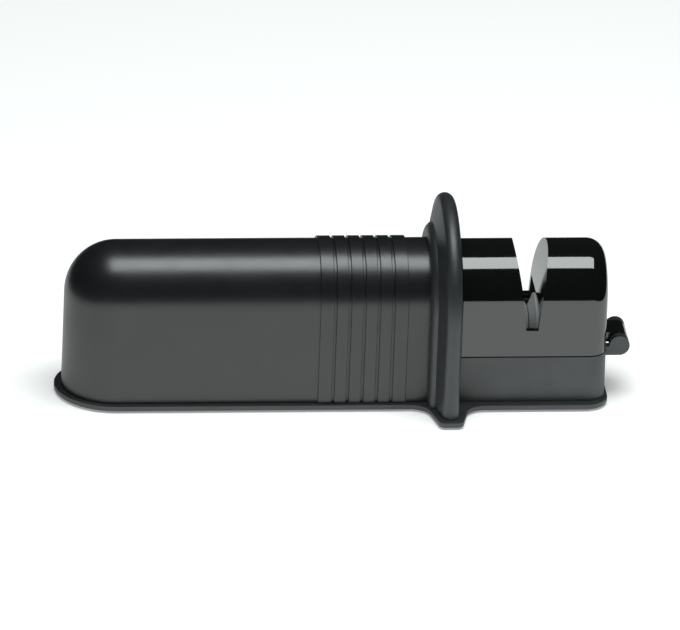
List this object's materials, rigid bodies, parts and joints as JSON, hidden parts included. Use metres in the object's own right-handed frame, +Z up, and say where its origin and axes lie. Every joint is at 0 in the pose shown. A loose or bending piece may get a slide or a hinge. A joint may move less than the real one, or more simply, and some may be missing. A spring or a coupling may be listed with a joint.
{
  "type": "roller knife sharpener",
  "caption": "Hand-held roller knife sharpener: ribbed arched handle, hand guard, hinged cover with a V blade slot over two bevelled wheels.",
  "frame": {"origin": "bottom centre of the whole sharpener, on the plane its rubber pads stand on", "axes": "+X along the body towards the cover hinge, +Y along the blade's travel away from the front, +Z up"},
  "size_m": [0.186, 0.0682, 0.0662],
  "materials": {
    "satin_black": "fine satin moulded grain",
    "matte_black": "matte moulded",
    "gloss_black": "polished",
    "grey_nylon": "moulded nylon",
    "steel": "ground and plated",
    "ceramic": "fine fired abrasive",
    "rubber": "moulded"
  },
  "bodies": {
    "sharpener_body": {"handle_shell": "satin_black", "head_body": "matte_black", "base_plate": "matte_black", "hinge_pin": "steel", "wheel_cradle": "grey_nylon", "axle_keeper": "grey_nylon", "wheel_axle": "steel", "left_thrust_washer": "steel", "right_thrust_washer": "steel", "left_axle_clip": "steel", "right_axle_clip": "steel", "base_screws": "steel", "keeper_screws": "steel", "handle_pad_front": "rubber", "handle_pad_back": "rubber", "guard_pad_front": "rubber", "guard_pad_back": "rubber", "head_pad_front": "rubber", "head_pad_back": "rubber"},
    "cover": {"head_cover": "gloss_black"},
    "left_roller": {"left_wheel": "ceramic", "left_wheel_bush": "grey_nylon"},
    "right_roller": {"right_wheel": "ceramic", "right_wheel_bush": "grey_nylon"}
  },
  "joints": [
    {"name": "cover_hinge", "type": "hinge", "parent": "sharpener_body", "child": "cover", "pos_m": [0.08973, 0, 0.018], "axis": [0, 1, 0], "range_deg": [0, 105]},
    {"name": "left_wheel_spin", "type": "hinge", "parent": "sharpener_body", "child": "left_roller", "pos_m": [0.0601, 0, 0.0214], "axis": [1, 0, 0], "continuous": true},
    {"name": "right_wheel_spin", "type": "hinge", "parent": "sharpener_body", "child": "right_roller", "pos_m": [0.0601, 0, 0.0214], "axis": [1, 0, 0], "continuous": true}
  ]
}
